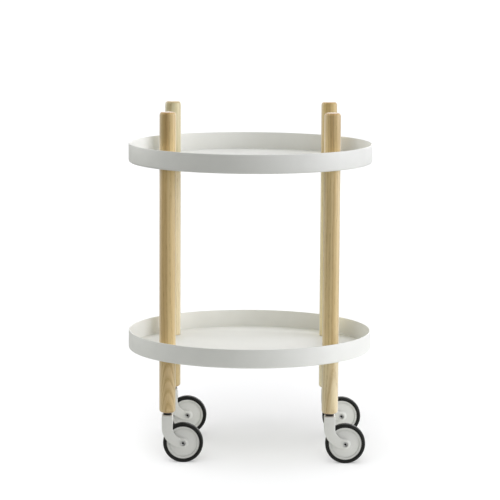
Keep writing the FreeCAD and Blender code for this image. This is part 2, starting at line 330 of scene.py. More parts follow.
coatGloss = (0.36, 0.46)  # roughness of the smooth and the grainy places of a baked coat
swellShare = 0.6  # height of the swell against the ripple's


# The fine orange peel of a baked coat: a tight ripple on a slow swell
def buildCoatPeel():
    group, given = newGroup(
        "coatPeel",
        {"Vector": "Vector", "Ripple": "Float", "Swell": "Float"},
        {"Height": "Float", "Shade": "Float", "Gloss": "Float"},
    )
    ripple = addNoise(group, (-800, 200), given["Vector"], scale=given["Ripple"], detail=2, roughness=0.4)
    swell = addNoise(group, (-800, -100), given["Vector"], scale=given["Swell"], detail=3, roughness=0.5)
    height = addMath(group, (-400, 200), "MULTIPLY_ADD", swell["Fac"], swellShare, ripple["Fac"])
    shade = addRamp(group, (-400, -60), swell["Fac"], (0.3, 0.975), (0.7, 1))
    smooth, grainy = coatGloss
    gloss = addRamp(group, (-400, -320), swell["Fac"], (0.3, smooth), (0.7, grainy))
    return endGroup(group, {"Height": height, "Shade": shade, "Gloss": gloss})


# Where a surface turns sharply: the mask is 1 on edges and 0 on open faces
def buildEdgeMask():
    group, given = newGroup("edgeMask", {"Reach": "Float"}, {"Mask": "Float"})
    eased = addNode(group, "ShaderNodeBevel", (-800, 100), {"samples": 6}, {"Radius": given["Reach"]})
    plain = addNode(group, "ShaderNodeNewGeometry", (-800, -150))
    same = addVectorMath(group, (-560, 0), "DOT_PRODUCT", eased.outputs["Normal"], plain.outputs["Normal"])
    return endGroup(group, {"Mask": addRamp(group, (-360, 0), same, (0.72, 1), (0.98, 0))})


# Fine dust that settles on what faces up
def buildDust():
    group, given = newGroup("settledDust", {"Vector": "Vector", "Amount": "Float"}, {"Mask": "Float"})
    plain = addNode(group, "ShaderNodeNewGeometry", (-1000, 200))
    parts = splitVector(group, (-800, 200), plain.outputs["Normal"])
    up = addRange(group, (-600, 200), parts["Z"], (-0.2, 1))
    specks = addNoise(group, (-800, -100), given["Vector"], scale=600, detail=4, roughness=0.65)
    patchy = addRamp(group, (-600, -100), specks["Fac"], (0.35, 0.2), (0.75, 1))
    both = addMath(group, (-300, 100), "MULTIPLY", up, patchy)
    return endGroup(group, {"Mask": addMath(group, (-100, 100), "MULTIPLY", both, given["Amount"])})


ashFigure = buildAshFigure()
growthBand = buildGrowthBand()
coatPeel = buildCoatPeel()
edgeMask = buildEdgeMask()
settledDust = buildDust()


def newMaterial(name):
    material = bpy.data.materials.new(name)
    material.use_nodes = True
    tree = material.node_tree
    tree.nodes.clear()
    return material, tree, addNode(tree, "ShaderNodeTexCoord", (-1400, 0)).outputs


# The shader on its bump, as the last nodes of a material
def addSurface(tree, inputs, height, strength, distance):
    relief = {"Height": height, "Strength": strength, "Distance": distance}
    bump = addNode(tree, "ShaderNodeBump", (380, -300), None, relief)
    inputs["Normal"] = bump.outputs["Normal"]
    shader = addNode(tree, "ShaderNodeBsdfPrincipled", (600, 0), None, inputs)
    addNode(tree, "ShaderNodeOutputMaterial", (900, 0), None, {"Surface": shader.outputs["BSDF"]})


coatSkin = {"specular": 0.45, "edgeReach": 0.0009, "bump": 0.25}
coats = {
    "tray": {
        "base": (0.855, 0.865, 0.835), "edge": (0.88, 0.885, 0.87), "ripple": 1100, "swell": 40, "peel": 0.00005
    },
    "fork": {
        "base": (0.80, 0.805, 0.78), "edge": (0.85, 0.855, 0.84), "ripple": 1500, "swell": 160, "peel": 0.00004
    },
}


# A baked coat on metal; the trays' is finer than the castings'
def coatMaterial(name, base, edge, ripple, swell, peel):
    material, tree, place = newMaterial(name)
    skin = placeGroup(tree, coatPeel, (-900, 0), {"Vector": place["Object"], "Ripple": ripple, "Swell": swell})
    rim = placeGroup(tree, edgeMask, (-900, -300), {"Reach": coatSkin["edgeReach"]})
    worn = mixColors(tree, (-500, 200), rim["Mask"], (*base, 1), (*edge, 1))
    toned = mixColors(tree, (-260, 200), 1, worn, skin["Shade"], "MULTIPLY")
    inputs = {"Base Color": toned, "Roughness": skin["Gloss"], "Specular IOR Level": coatSkin["specular"]}
    addSurface(tree, inputs, skin["Height"], coatSkin["bump"], peel)
    return material


trayCoat = coatMaterial("trayPowderCoat", **coats["tray"])
forkCoat = coatMaterial("forkPowderCoat", **coats["fork"])

ashTones = {
    "early": (0.80, 0.74, 0.62),  # what the early wood of a ring takes away
    "pore": (0.68, 0.62, 0.52),
    "band": (0.80, 0.72, 0.60),
    "soaked": (0.92, 0.8, 0.66),  # what end grain takes away
    "lacquer": (0.9, 0.1),  # on the side and on end grain, which drinks it
    "rough": (0.42, 0.56),  # late and early wood
    "endRough": 0.4,
    "leanAside": 0.4,  # share of a length's lean that also tips it the other way
    "bump": (0.35, 0.00008),
}
sideGrain, endGrain = 0.25, 0.95  # how far a face of a dowel looks up or down


# Each length of dowel comes from another place in the log: pith is how far off the pith lies, and toward which
# way, lean tilts the length in the log, which draws the rings out into flames, pale is its late wood and figure
# how strongly its rings show
def ashMaterial(name, middle, pith, toward, lean, ringGap, waver, pale, figure, band):
    pale = Vector(pale)
    tan = pale * Vector((1, 1, 1)).lerp(Vector(ashTones["early"]), figure)
    pore = tan * Vector(ashTones["pore"])
    material, tree, place = newMaterial(name)
    inputs = {"Vector": place["Object"], "Location": tuple(-middle)}
    centred = addNode(tree, "ShaderNodeMapping", (-1200, 0), None, inputs).outputs[0]
    turn = tuple(math.radians(angle) for angle in (lean, lean * ashTones["leanAside"], toward))
    inputs = {"Vector": centred, "Location": (pith, 0, 0), "Rotation": turn}
    inLog = addNode(tree, "ShaderNodeMapping", (-1000, 0), None, inputs).outputs[0]
    inputs = {"Vector": inLog, "Ring Gap": ringGap, "Waver": waver}
    inputs.update({"Pale": (*pale, 1), "Tan": (*tan, 1), "Pore": (*pore, 1)})
    grown = placeGroup(tree, ashFigure, (-760, 0), inputs)
    at, half, slope, depth = band
    growth = placeGroup(tree, growthBand, (-760, -300), {"Vector": centred, "At": at, "Half": half, "Slope": slope})
    strong = addMath(tree, (-560, -300), "MULTIPLY", growth["Mask"], depth)
    banded = mixColors(tree, (-420, 100), strong, grown["Color"], (*ashTones["band"], 1), "MULTIPLY")
    facing = splitVector(tree, (-900, 300), place["Normal"])
    ends = addMath(tree, (-740, 300), "ABSOLUTE", facing["Z"])
    soak = addRamp(tree, (-560, 300), ends, (sideGrain, 1), (endGrain, ashTones["soaked"]))
    onSide, onEnd = ashTones["lacquer"]
    sealed = addRamp(tree, (-560, 520), ends, (sideGrain, onSide), (endGrain, onEnd))
    toned = mixColors(tree, (-260, 200), 1, banded, soak, "MULTIPLY")
    late, early = ashTones["rough"]
    matt = addRamp(tree, (-260, -100), grown["Early"], (0, late), (1, early))
    dull = addRange(tree, (-260, 500), ends, (sideGrain, endGrain), (0, ashTones["endRough"]))
    inputs = {
        "Base Color": toned,
        "Roughness": addMath(tree, (0, -100), "ADD", matt, dull),
        "Coat Weight": sealed,
        "Specular IOR Level": 0.4,
        "Coat Roughness": 0.45,
        "Sheen Weight": 0.9,
        "Sheen Roughness": 0.4,
    }
    addSurface(tree, inputs, grown["Height"], *ashTones["bump"])
    return material


mouldedSkin = {"swell": 220, "edgeReach": 0.0005, "bump": 0.3}


# Moulded plastic and rubber share one recipe: a fine skin, rubbed edges and a little dust
def mouldedMaterial(name, base, rubbed, dusty, dust, rough, ripple, peel, sheen=0.5):
    material, tree, place = newMaterial(name)
    inputs = {"Vector": place["Object"], "Ripple": ripple, "Swell": mouldedSkin["swell"]}
    skin = placeGroup(tree, coatPeel, (-900, 0), inputs)
    rim = placeGroup(tree, edgeMask, (-900, -300), {"Reach": mouldedSkin["edgeReach"]})
    film = placeGroup(tree, settledDust, (-900, 300), {"Vector": place["Object"], "Amount": dust})
    worn = mixColors(tree, (-600, 200), rim["Mask"], (*base, 1), (*rubbed, 1))
    dusted = mixColors(tree, (-400, 200), film["Mask"], worn, (*dusty, 1))
    toned = mixColors(tree, (-200, 200), 1, dusted, skin["Shade"], "MULTIPLY")
    matt = addRange(tree, (-200, -100), skin["Gloss"], coatGloss, rough)
    inputs = {"Base Color": toned, "Roughness": matt, "Specular IOR Level": sheen}
    addSurface(tree, inputs, skin["Height"], mouldedSkin["bump"], peel)
    return material


mouldings = {
    "collarPlastic": {
        "base": grey(0.016), "rubbed": grey(0.045), "dusty": grey(0.2), "dust": 0.06,
        "rough": (0.4, 0.55), "ripple": 2600, "peel": 0.00004,
    },
    "tyreRubber": {
        "base": (0.011, 0.012, 0.011), "rubbed": grey(0.024), "dusty": (0.12, 0.117, 0.112), "dust": 0.09,
        "rough": (0.45, 0.62), "ripple": 3400, "peel": 0.00006, "sheen": 0.22,
    },
    "wheelPlastic": {
        "base": (0.79, 0.795, 0.774), "rubbed": (0.845, 0.85, 0.835), "dusty": (0.5, 0.49, 0.46), "dust": 0.05,
        "rough": (0.3, 0.42), "ripple": 1800, "peel": 0.00003,
    },
    "bearingPlastic": {
        "base": (0.72, 0.68, 0.58), "rubbed": (0.78, 0.74, 0.65), "dusty": (0.5, 0.47, 0.42), "dust": 0.03,
        "rough": (0.35, 0.5), "ripple": 2600, "peel": 0.00003,
    },
}
moulded = {name: mouldedMaterial(name, **facts) for name, facts in mouldings.items()}

metalSkin = {"stretch": (0.12, 0.12, 1), "edgeReach": 0.0004, "bump": (0.3, 0.00003)}


# Plated or blackened metal with fine turning marks round the piece
def metalMaterial(name, base, edge, rough, scratch):
    material, tree, place = newMaterial(name)
    inputs = {"Vector": place["Object"], "Scale": metalSkin["stretch"]}
    squeezed = addNode(tree, "ShaderNodeMapping", (-1120, 100), None, inputs).outputs[0]
    marks = addNoise(tree, (-900, 100), squeezed, scale=scratch, detail=4, roughness=0.7)["Fac"]
    rim = placeGroup(tree, edgeMask, (-900, -300), {"Reach": metalSkin["edgeReach"]})
    worn = mixColors(tree, (-500, 200), rim["Mask"], (*base, 1), (*edge, 1))
    low, high = rough
    matt = addRamp(tree, (-300, -60), marks, (0.3, low), (0.7, high))
    addSurface(tree, {"Base Color": worn, "Roughness": matt, "Metallic": 1}, marks, *metalSkin["bump"])
    return material


# Colour, colour on edges, roughness from and to, and how fine the marks are
metals = {
    "zincPlate": ((0.62, 0.63, 0.64), (0.8, 0.8, 0.8), (0.28, 0.42), 2600),
    "turnedBrass": ((0.76, 0.58, 0.28), (0.86, 0.7, 0.42), (0.25, 0.38), 2200),
    "blackSteel": ((0.03, 0.03, 0.032), (0.06, 0.06, 0.062), (0.35, 0.5), 2600),
    "screwSteel": ((0.5, 0.5, 0.505), (0.6, 0.6, 0.6), (0.26, 0.36), 2600),
}
metal = {name: metalMaterial(name, *facts) for name, facts in metals.items()}
print("materials:", len(bpy.data.materials), "with", len(bpy.data.node_groups), "shared groups")


# Trays
trayShape = {
    "around": 256,
    "sheet": 0.002,
    "bend": 0.004,
    "bendSteps": (8, 6),  # outside and inside
    "lip": 0.00098,
    "lipSteps": 5,
    "studHole": 0.0044,
    "holeAround": 32,
}


# A cup from a flat cylinder: the top face is inset by the sheet and pushed down to the floor, then every
# corner gets its round
def makeTray(node):
    low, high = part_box(node)
    height = high.z - low.z
    sheet = trayShape["sheet"]
    name = node.replace("_tray", "_tray_pressed")
    tray = startCylinder(name, trayShape["around"], (high.x - low.x) / 2, height, (low + high) / 2)
    pickFaces(tray, lambda face: face.normal.z > squarely)
    bpy.ops.mesh.inset(thickness=sheet, depth=0)
    pushAlong(0, 0, sheet - height)
    bend = trayShape["bend"]
    outside, inside = trayShape["bendSteps"]
    for z, size, segments in (
        (low.z, bend, outside),
        (low.z + sheet, bend - sheet, inside),
        (high.z, trayShape["lip"], trayShape["lipSteps"]),
    ):
        pickEdges(tray, atHeight(z))
        bpy.ops.mesh.bevel(offset=size, segments=segments)
    bpy.ops.object.mode_set(mode="OBJECT")

    for corner in corners:
        spot = middleOf("leg_middle_" + corner)
        under = Vector((spot.x, spot.y, low.z - sheet))
        above = Vector((spot.x, spot.y, low.z + sheet * 2))
        drill = addRod(trayShape["studHole"], under, above, trayShape["holeAround"])
        combine(tray, drill, "DIFFERENCE")
    finishPiece(tray)
    dress(tray, trayCoat)
    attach(tray, "root")
    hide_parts(node)
    print("tray:", tray.name, len(tray.data.polygons), "faces")


for node in ("lower_tray", "upper_tray"):
    makeTray(node)


# Legs: the free end's soft round shows, the clamped end is only eased
legShape = {
    "around": 96,
    "freeEnd": (0.0055, 8),
    "clampedEnd": (0.0008, 3),
    "flange": 0.00805,
    "flangeDepth": 0.0015,
    "bore": 0.00605,
    "boreDepth": 0.026,
}
# The round of the lower and the upper end, and whether a socket is bored there
legEnds = {
    "foot": (("freeEnd", True), ("clampedEnd", True)),
    "middle": (("clampedEnd", True), ("clampedEnd", True)),
    "top": (("clampedEnd", True), ("freeEnd", False)),
}
# pith, toward, lean, ringGap, waver, pale, figure and band (its place, half width, slope and depth), in metres
# and degrees
logPlaces = {
    "foot_front_left": (0.024, 74, -6.1, 0.0029, 0.009, (0.757, 0.579, 0.295), 0.95, (0.002, 0.010, 0.02, 0.35)),
    "middle_front_left": (0.090, 12, 0.4, 0.0062, 0.009, (0.803, 0.604, 0.281), 0.5, (-0.007, 0.010, 0.004, 0.6)),
    "top_front_left": (0.080, 160, 0.6, 0.0055, 0.008, (0.687, 0.512, 0.222), 0.45, (-0.002, 0.0075, 0.0, 1.0)),
    "foot_front_right": (0.046, 60, -4.0, 0.0042, 0.010, (0.801, 0.676, 0.418), 0.8, (-0.001, 0.0055, 0.09, 0.7)),
    "middle_front_right": (0.085, 190, -0.5, 0.0058, 0.009, (0.775, 0.598, 0.295), 0.5, (0.0035, 0.0028, 0.003, 0.6)),
    "top_front_right": (0.070, 8, 0.9, 0.0050, 0.008, (0.696, 0.514, 0.232), 0.55, (-0.001, 0.006, 0.01, 0.7)),
    "foot_rear_left": (0.044, 290, 1.6, 0.0038, 0.008, (0.822, 0.630, 0.304), 0.7, (0.001, 0.005, 0.02, 0.4)),
    "middle_rear_left": (0.086, 340, 0.4, 0.0055, 0.008, (0.914, 0.775, 0.485), 0.5, (-0.002, 0.004, 0.004, 0.4)),
    "top_rear_left": (0.070, 65, -0.9, 0.0048, 0.008, (0.698, 0.624, 0.381), 0.5, (-0.006, 0.005, 0.0, 0.4)),
    "foot_rear_right": (0.040, 250, -1.8, 0.0036, 0.008, (0.916, 0.813, 0.537), 0.3, (0.009, 0.004, 0.03, 0.4)),
    "middle_rear_right": (0.082, 120, 0.6, 0.0052, 0.009, (0.916, 0.778, 0.414), 0.4, (0.003, 0.005, 0.003, 0.3)),
    "top_rear_right": (0.072, 230, 0.7, 0.0050, 0.008, (0.650, 0.483, 0.197), 0.5, (-0.002, 0.006, 0.0, 0.5)),
}


def makeDowel(length):
    low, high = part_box("leg_" + length + "_front_left")
    radius = (high.x - low.x) / 2
    name = "ash_" + length + "_front_left"
    dowel = startCylinder(name, legShape["around"], radius, high.z - low.z, (low + high) / 2)
    ends = tuple(zip((low.z, high.z), (1, -1), legEnds[length]))
    for z, inward, (ending, socket) in ends:
        size, segments = legShape[ending]
        pickEdges(dowel, atHeight(z))
        bpy.ops.mesh.bevel(offset=size, segments=segments)
    for z, inward, (ending, socket) in ends:
        if not socket:
            continue
        pickFaces(dowel, lambda face: abs(centreOf(face).z - z) < closer)
        bpy.ops.mesh.inset(thickness=radius - legShape[ending][0] - legShape["flange"], depth=0)
        pushAlong(0, 0, inward * legShape["flangeDepth"])
        bpy.ops.mesh.inset(thickness=legShape["flange"] - legShape["bore"], depth=0)
        pushAlong(0, 0, inward * (legShape["boreDepth"] - legShape["flangeDepth"]))
    bpy.ops.object.mode_set(mode="OBJECT")
    return finishPiece(dowel)


for length in legEnds:
    dowel = makeDowel(length)
    start = middleOf("leg_" + length + "_front_left")
    for corner in corners:
        place = length + "_" + corner
        middle = middleOf("leg_" + place)
        piece = dowel if corner == "front_left" else copyPiece(dowel, "ash_" + place, middle - start)
        dress(piece, ashMaterial("ash_" + place, middle, *logPlaces[place]))
        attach(piece, "root")
        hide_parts("leg_" + place)
    print("legs:", length, len(dowel.data.polygons), "faces each")


# Castors
def pushFaces(along):
    bpy.ops.mesh.extrude_region_shrink_fatten(TRANSFORM_OT_shrink_fatten={"value": along})


def cutAcross(y):
    bpy.ops.mesh.bisect(plane_co=(0, y, 0), plane_no=(0, 1, 0))


# Distance from the axle and from the middle of the wheel along it, and whether an edge runs round the axle
def aroundAxle(middle):
    def radius(point):
        return math.hypot(point.x - middle.x, point.z - middle.z)

    def side(point):
        return abs(point.y - middle.y)

    def ring(edge, out, along):
        start, end = (vert.co for vert in edge.verts)
        if abs(start.y - end.y) > close:
            return False
        return all(abs(radius(spot) - out) < ringReach and abs(side(spot) - along) < close for spot in (start, end))

    return radius, side, ring


def copyToCorners(piece, start, node, body, slot, *materials):
    first = middleOf(node + "_front_left")
    for corner in corners:
        shift = middleOf(node + "_" + corner) - first
        twin = piece if corner == "front_left" else copyPiece(piece, start + "_" + corner, shift)
        dress(twin, *materials)
        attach(twin, body + "_" + corner if body != "root" else body)
        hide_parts(node + "_" + corner)
    print(start + ":", len(piece.data.polygons), "faces each")


wheelShape = {
    "around": 160,
    "rimHalf": 0.0056,
    "ringWidth": 0.0038,
    "ringRise": 0.0011,
    "ringEdge": 0.0006,
    "edgeSteps": 4,
    "grooveWidth": 0.0018,
    "grooveDepth": 0.0014,
    # inset and rise of each step
    "web": ((0.0033, 0.00045), (0.0040, 0.00045), (0.0038, 0.0003), (0.0032, 0.0002)),
    "hubFace": 0.0070,
    "hubEdge": 0.0008,
    "bore": 0.00408,
    "ribHalf": 0.00255,
    "ribDepth": 0.00165,
    "treadFrom": 0.9,  # share of the radius beyond which a face belongs to the tread
}


def makeWheel():
    low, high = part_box("wheel_front_left")
    middle = (low + high) / 2
    radius, side, ring = aroundAxle(middle)
    outer = (high.x - low.x) / 2
    half = wheelShape["rimHalf"]
    treadFrom = outer * wheelShape["treadFrom"]
    wheel = startCylinder("wheel_moulded_front_left", wheelShape["around"], outer, half * 2, middle, lying=True)
    for y in (-wheelShape["ribHalf"], wheelShape["ribHalf"]):
        bpy.ops.mesh.select_all(action="SELECT")
        cutAcross(middle.y + y)
    pickFaces(wheel, lambda face: side(centreOf(face)) < close and radius(centreOf(face)) > treadFrom)
    pushFaces(-wheelShape["ribDepth"])

    pickFaces(wheel, lambda face: side(centreOf(face)) > half - close)
    bpy.ops.mesh.inset(thickness=wheelShape["ringWidth"], depth=0)
    pushFaces(-wheelShape["ringRise"] - wheelShape["grooveDepth"])
    bpy.ops.mesh.inset(thickness=wheelShape["grooveWidth"], depth=0)
    pushFaces(wheelShape["grooveDepth"])
    for width, rise in wheelShape["web"]:
        bpy.ops.mesh.inset(thickness=width, depth=rise)
    webWidth, webRise = (sum(step) for step in zip(*wheelShape["web"]))
    pushFaces(wheelShape["hubFace"] - half + wheelShape["ringRise"] - webRise)
    hub = outer - wheelShape["ringWidth"] - wheelShape["grooveWidth"] - webWidth
    bpy.ops.mesh.inset(thickness=hub - wheelShape["bore"], depth=0)
    bpy.ops.mesh.bridge_edge_loops()

    for out, along, size in (
        (outer, half, wheelShape["ringEdge"]),
        (outer - wheelShape["ringWidth"], half, wheelShape["ringEdge"]),
        (hub, wheelShape["hubFace"], wheelShape["hubEdge"]),
    ):
        pickEdges(wheel, lambda edge: ring(edge, out, along))
        bpy.ops.mesh.bevel(offset=size, segments=wheelShape["edgeSteps"])
    bpy.ops.object.mode_set(mode="OBJECT")
    return finishPiece(wheel)


wheel = makeWheel()
copyToCorners(wheel, "wheel_moulded", "wheel", "wheel", "white_wheel_plastic", moulded["wheelPlastic"])

tyreShape = {
    "around": 160,
    "shoulder": 0.0038,
    "shoulderSteps": 10,
    "wall": 0.00275,  # from the shoulder's foot to the rim
    "footSetback": 0.0012,
    "ribHalf": 0.0025,
    "ribDepth": 0.00165,
    "partingHalf": 0.00025,
    "partingDepth": 0.00012,
}


def makeTyre():
    low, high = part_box("tyre_front_left")
    middle = (low + high) / 2
    radius, side, ring = aroundAxle(middle)
    outer = (high.x - low.x) / 2
    half = (high.y - low.y) / 2
    tyre = startCylinder("tyre_rubber_front_left", tyreShape["around"], outer, half * 2, middle, lying=True)
    pickEdges(tyre, lambda edge: ring(edge, outer, half))
    bpy.ops.mesh.bevel(offset=tyreShape["shoulder"], segments=tyreShape["shoulderSteps"])
    pickFaces(tyre, lambda face: side(centreOf(face)) > half - close)
    bpy.ops.mesh.inset(thickness=tyreShape["wall"], depth=-tyreShape["footSetback"])
    bpy.ops.mesh.bridge_edge_loops()
    inner = outer - tyreShape["shoulder"] - tyreShape["wall"]

    def onBand(face, at):
        return all(abs(radius(vert.co) - at) < bandReach for vert in face.verts)

    for at, width, rise in (
        (inner, tyreShape["ribHalf"], tyreShape["ribDepth"]),
        (outer, tyreShape["partingHalf"], -tyreShape["partingDepth"]),
    ):
        for y in (-width, width):
            pickFaces(tyre, lambda face: onBand(face, at))
            cutAcross(middle.y + y)
        pickFaces(tyre, lambda face: onBand(face, at) and all(side(vert.co) < width + close for vert in face.verts))
        pushFaces(rise)
    bpy.ops.object.mode_set(mode="OBJECT")
    return finishPiece(tyre)


tyre = makeTyre()
copyToCorners(tyre, "tyre_rubber", "tyre", "wheel", "black_tyre", moulded["tyreRubber"])

forkShape = {
    "hub": 0.009,
    "hubSteps": 64,
    "sweepSteps": 26,
    "width": 0.0202,
    "armHalf": 0.0125,
    "edge": 0.0016,
    "edgeSteps": 6,
    "slotHalf": 0.0093,
    "slotLength": 0.15,
    "crownUnder": 0.0762,
    # radius, from and to along the axle, and edge
    "hubRing": (0.0072, 0.0096, 0.0132, 0.0003),
    "spacer": (0.008, 0.0109, 0.0081, 0),
    "bossAround": 64,
    "axleHole": 0.0026,
    "axleHoleAround": 32,
    "pocket": 0.0050,
    "pocketFloor": 0.0096,
    "bushBore": 0.00608,
    "bushSeat": (0.00808, 0.0012),
    "headPocket": (0.0072, 0.0795),
    "past": 0.02,  # how far a cutting rod stands out
}


# The side view is drawn first: the hub's round, two sweeps out of its ends and two straight runs up to the crown
def makeFork():
    low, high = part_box("castor_fork_front_left")
    axle = middleOf("wheel_front_left")
    stem = middleOf("castor_collar_front_left")
    hub = forkShape["hub"]
    half = forkShape["armHalf"]
    trail = axle.x - stem.x
    near = axle.y - half
    deselectAll()
    bpy.ops.mesh.primitive_circle_add(
        vertices=forkShape["hubSteps"], radius=hub, location=(axle.x, near, axle.z), rotation=(math.pi / 2, 0, 0)
    )
    fork = bpy.context.active_object
    fork.name = "fork_cast_front_left"
    bpy.ops.object.transform_apply(location=True, rotation=True)

    editPiece(fork)
    pick(fork, "VERT", lambda vert: vert.co.x < axle.x - close)
    bpy.ops.mesh.delete(type="VERT")
    sweeps = ((-hub, trail + forkShape["width"] / 2), (hub, trail - forkShape["width"] / 2))
    for rise, reach in sweeps:
        tip = (axle.x, axle.z + rise)
        pick(fork, "VERT", lambda vert: abs(vert.co.x - tip[0]) < close and abs(vert.co.z - tip[1]) < close)
        centre = (axle.x, near, axle.z + rise + reach)
        bpy.ops.mesh.spin(steps=forkShape["sweepSteps"], angle=-math.pi / 2, center=centre, axis=(0, 1, 0))
        pushAlong(0, 0, high.z - centre[2])
    pick(fork, "VERT", lambda vert: abs(vert.co.z - high.z) < close)
    bpy.ops.mesh.edge_face_add()
    bpy.ops.mesh.select_all(action="SELECT")
    bpy.ops.mesh.edge_face_add()
    pushAlong(0, half * 2, 0)
    bpy.ops.mesh.select_all(action="SELECT")
    bpy.ops.mesh.normals_make_consistent(inside=False)

    def onSide(edge):
        start, end = (vert.co.y for vert in edge.verts)
        return abs(start - end) < closer and abs(abs(start - axle.y) - half) < close

    atTop = atHeight(high.z)
    for chosen in (lambda edge: atTop(edge) and not onSide(edge), onSide):
        pickEdges(fork, chosen)
        bpy.ops.mesh.bevel(offset=forkShape["edge"], segments=forkShape["edgeSteps"])
    bpy.ops.object.mode_set(mode="OBJECT")

    slotTop = forkShape["crownUnder"]
    size = (forkShape["slotLength"], forkShape["slotHalf"] * 2, slotTop)
    deselectAll()
    bpy.ops.mesh.primitive_cube_add(size=1, location=(axle.x, axle.y, slotTop / 2), scale=size)
    slot = bpy.context.active_object
    bpy.ops.object.transform_apply(location=True, scale=True)
    combine(fork, slot, "DIFFERENCE")
    for side in (-1, 1):
        for radius, begin, finish, edge in (forkShape["hubRing"], forkShape["spacer"]):
            start, end = (axle + Vector((0, side * along, 0)) for along in (begin, finish))
            combine(fork, addRod(radius, start, end, forkShape["bossAround"], edge), "UNION")
    past = forkShape["past"]
    across = Vector((0, past, 0))
    drill = addRod(forkShape["axleHole"], axle - across, axle + across, forkShape["axleHoleAround"])
    combine(fork, drill, "DIFFERENCE")
    for side in (-1, 1):
        floor = axle + Vector((0, side * forkShape["pocketFloor"], 0))
        combine(fork, addRod(forkShape["pocket"], floor, axle + across * side), "DIFFERENCE")
    seatRadius, seatDepth = forkShape["bushSeat"]
    headRadius, headTop = forkShape["headPocket"]
    for radius, bottom, top in (
        (forkShape["bushBore"], slotTop - past, high.z + past),
        (seatRadius, high.z - seatDepth, high.z + past),
        (headRadius, slotTop - past, headTop),
    ):
        rod = addRod(radius, Vector((stem.x, stem.y, bottom)), Vector((stem.x, stem.y, top)))
        combine(fork, rod, "DIFFERENCE")
    return finishPiece(fork)


fork = makeFork()
copyToCorners(fork, "fork_cast", "castor_fork", "swivel", "white_fork_coat", forkCoat)

collarShape = {"around": 64, "bore": 0.00405, "edge": 0.0005, "edgeSteps": 4}


def makeCollar():
    low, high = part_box("castor_collar_front_left")
    radius = (high.x - low.x) / 2
    name = "collar_moulded_front_left"
    collar = startCylinder(name, collarShape["around"], radius, high.z - low.z, (low + high) / 2)
    for z in (low.z, high.z):
        pickEdges(collar, atHeight(z))
        bpy.ops.mesh.bevel(offset=collarShape["edge"], segments=collarShape["edgeSteps"])
    pickFaces(collar, lambda face: abs(face.normal.z) > squarely)
    bpy.ops.mesh.inset(thickness=radius - collarShape["edge"] - collarShape["bore"], depth=0)
    bpy.ops.mesh.bridge_edge_loops()
    bpy.ops.object.mode_set(mode="OBJECT")
    return finishPiece(collar)


collar = makeCollar()
copyToCorners(collar, "collar_moulded", "castor_collar", "root", "black_plastic", moulded["collarPlastic"])

screwShape = {
    "around": 64,
    "headHeight": 0.0024,
    "dish": 0.0010,
    "dishRings": (0.0040, 0.0037, 0.0034, 0.0031, 0.0028, 0.0024),
    "shank": 0.0025,
    "tip": 0.0004,
    "tipSteps": 2,
    "socket": 0.0025,
    "socketDepth": 0.0030,
    "paintedShadeFrom": 0.0015,  # below the head's rim; from here down, the socket is painted black as shade
}


# A screw with a dished head and a six-sided socket whose inside is painted black as shade; its head faces the front
def makeAxleScrew():
    low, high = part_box("axle_screw_front_left")
    middle = (low + high) / 2
    radius = aroundAxle(middle)[0]
    head = (high.x - low.x) / 2
    height = screwShape["headHeight"]
    dish = screwShape["dish"]
    ball = (head ** 2 + dish ** 2) / (2 * dish)  # the dish's radius

    def dishDepth(out):
        return math.sqrt(ball ** 2 - out ** 2) - ball + dish

    inHead = (middle.x, low.y + height / 2, middle.z)
    screw = startCylinder("axle_screw_turned_front_left", screwShape["around"], head, height, inHead, lying=True)
    pickFaces(screw, lambda face: face.normal.y < -squarely)
    last = head
    for out in screwShape["dishRings"]:
        bpy.ops.mesh.inset(thickness=last - out, depth=dishDepth(last) - dishDepth(out))
        last = out
    pickFaces(screw, lambda face: face.normal.y > squarely)
    bpy.ops.mesh.inset(thickness=head - screwShape["shank"], depth=0)
    pushAlong(0, high.y - low.y - height, 0)
    pickEdges(screw, lambda edge: all(abs(vert.co.y - high.y) < closer for vert in edge.verts))
    bpy.ops.mesh.bevel(offset=screwShape["tip"], segments=screwShape["tipSteps"])
    bpy.ops.object.mode_set(mode="OBJECT")
    front = Vector((middle.x, low.y, middle.z))
    along = Vector((0, screwShape["socketDepth"], 0))
    combine(screw, addRod(screwShape["socket"], front - along, front + along, 6), "DIFFERENCE")
    for face in screw.data.polygons:  # from below the dish, the socket gets black steel as painted shade in the recess
        deep = screwShape["paintedShadeFrom"] < face.center.y - low.y < along.y + close
        face.material_index = 1 if deep and radius(face.center) < screwShape["socket"] else 0
    return finishPiece(screw)


screw = makeAxleScrew()
# The screw's own steel, and black steel as the painted shade inside the socket
steels = (metal["screwSteel"], metal["blackSteel"])
copyToCorners(screw, "axle_screw_turned", "axle_screw", "swivel", "dark_steel", *steels)

# Finishes of the pieces that keep their modelled shape, by how their names start
finishes = {
    "wheel_bushes": moulded["bearingPlastic"],
    "swivel_bush": moulded["bearingPlastic"],
    "castor_stem": metal["zincPlate"],
    "lower_tray_studs": metal["zincPlate"],
    "upper_tray_studs": metal["zincPlate"],
    "lower_tray_inserts": metal["turnedBrass"],
    "upper_tray_inserts": metal["turnedBrass"],
    "castor_inserts": metal["turnedBrass"],
    "axle_nut": metal["blackSteel"],
}
for start, material in finishes.items():
    for name, thing in nodes.items():
        if name.startswith(start):
            for slot in thing.material_slots:
                slot.material = material
print("finishes on kept pieces:", len(finishes))


# Floor, light and camera
studio = {
    "floorSize": 80,
    "floorShade": (0.692, 0.694, 0.703),
    "floorLift": 0.28,
    "bounceNear": (0.905, 0.91, 0.88),
    "bounceFar": (0.23, 0.23, 0.225),
    "bounceMiddle": (0.4, 0.1, 0),
    "bounceReach": (0.3, 1.2),
    "ambient": 0.26,
    "sunDistance": 4,
}
plain, cool, rosy, warm = (1, 1, 1), (0.995, 0.985, 1.045), (1.0, 0.995, 1.0), (1.0, 0.998, 0.955)
